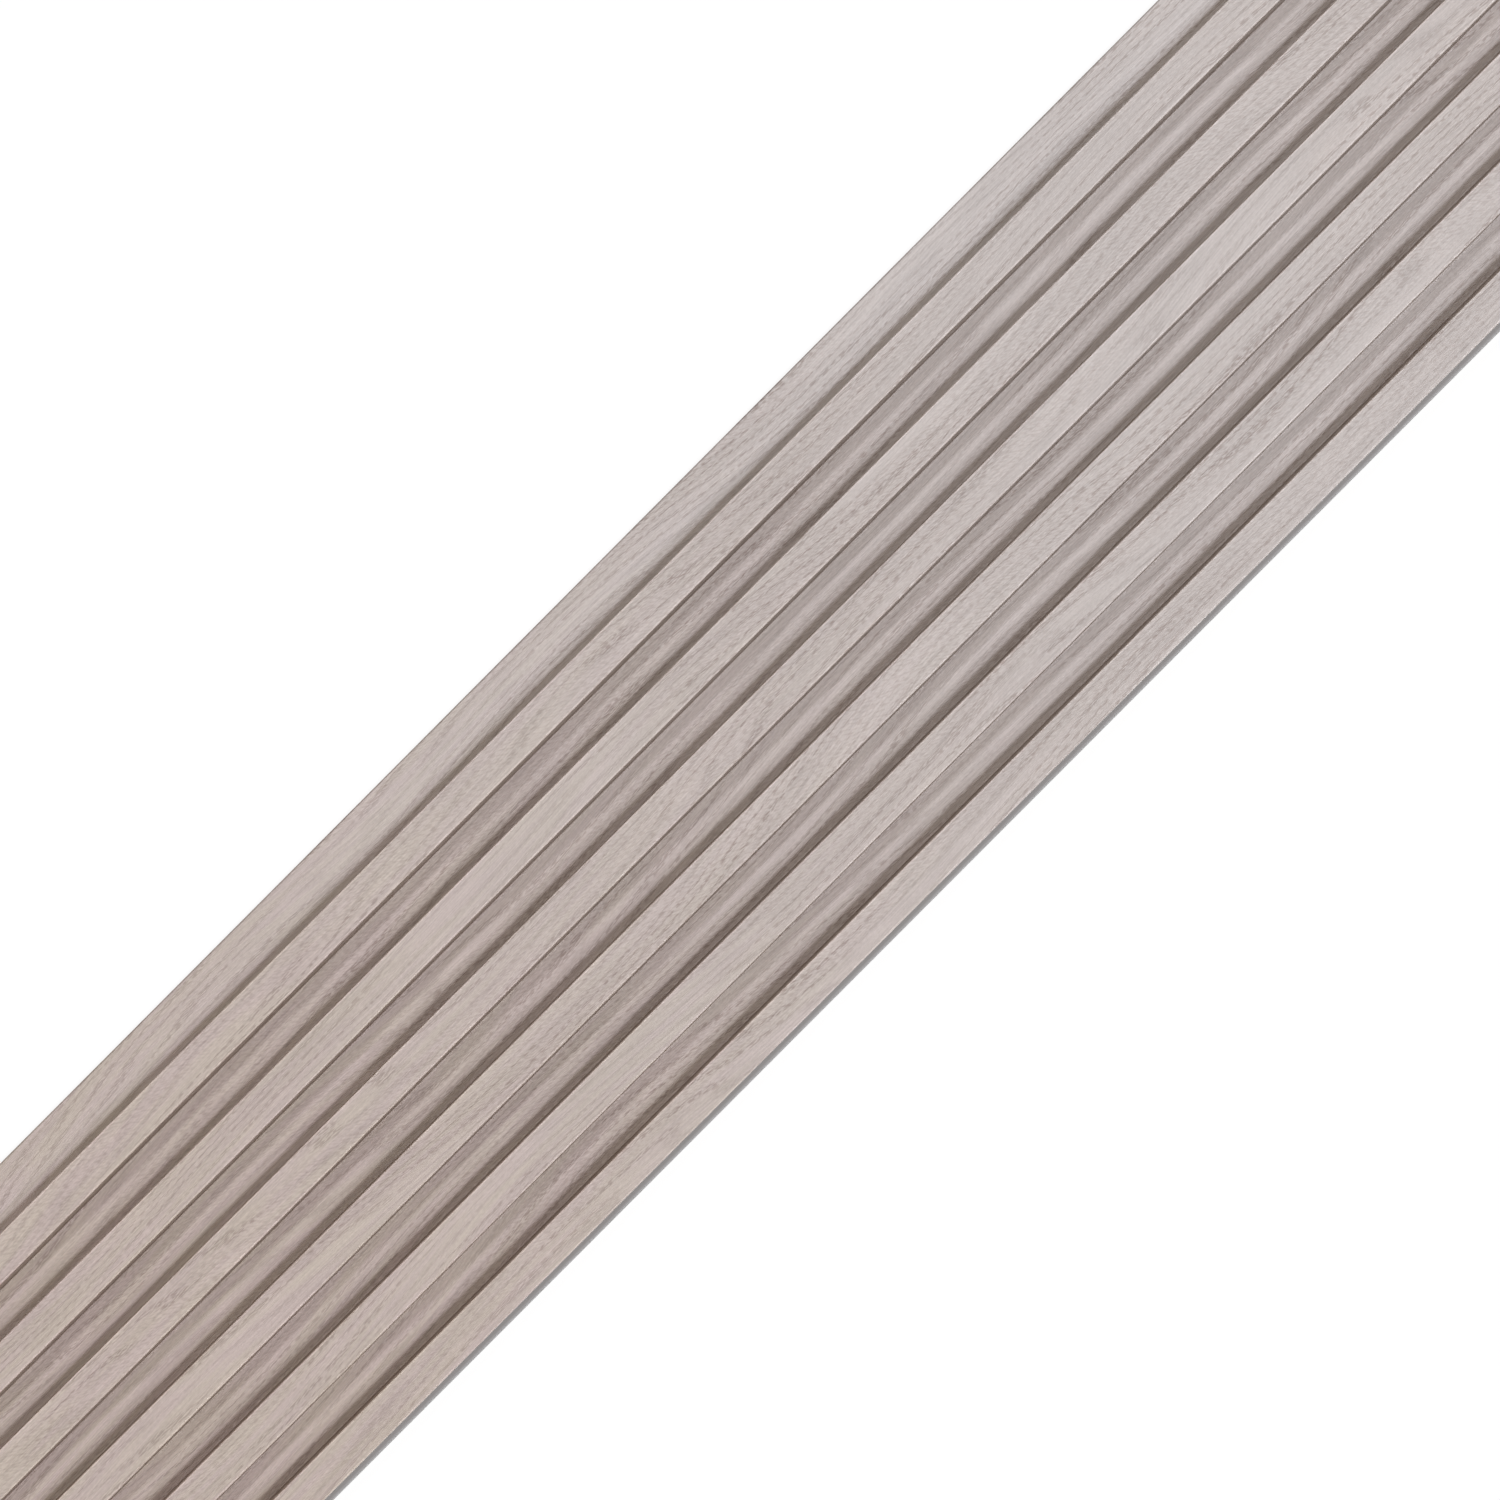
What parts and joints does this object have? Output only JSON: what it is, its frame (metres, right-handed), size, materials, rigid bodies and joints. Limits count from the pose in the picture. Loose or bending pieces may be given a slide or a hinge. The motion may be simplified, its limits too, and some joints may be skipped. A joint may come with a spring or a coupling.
{
  "type": "slat wall panel",
  "caption": "Long wood-grain slat wall panel of extruded foam, with square ribs, flat grooves and a tongue-and-slot lap joint along its edges.",
  "frame": {"origin": "centre of the panel's back, half way along its length and half way across its overall width", "axes": "+X along the panel, +Y across it from the tongue edge to the slot edge, +Z from the back to the slat faces"},
  "size_m": [2.7, 0.1258, 0.012],
  "materials": {
    "wood_grain_film": "matte, printed and lightly embossed oak grain in warm grey, over a light grey foam core that shows at the cut ends, the back and the lip"
  },
  "bodies": {
    "root": {"slat_panel": "wood_grain_film"}
  },
  "joints": []
}
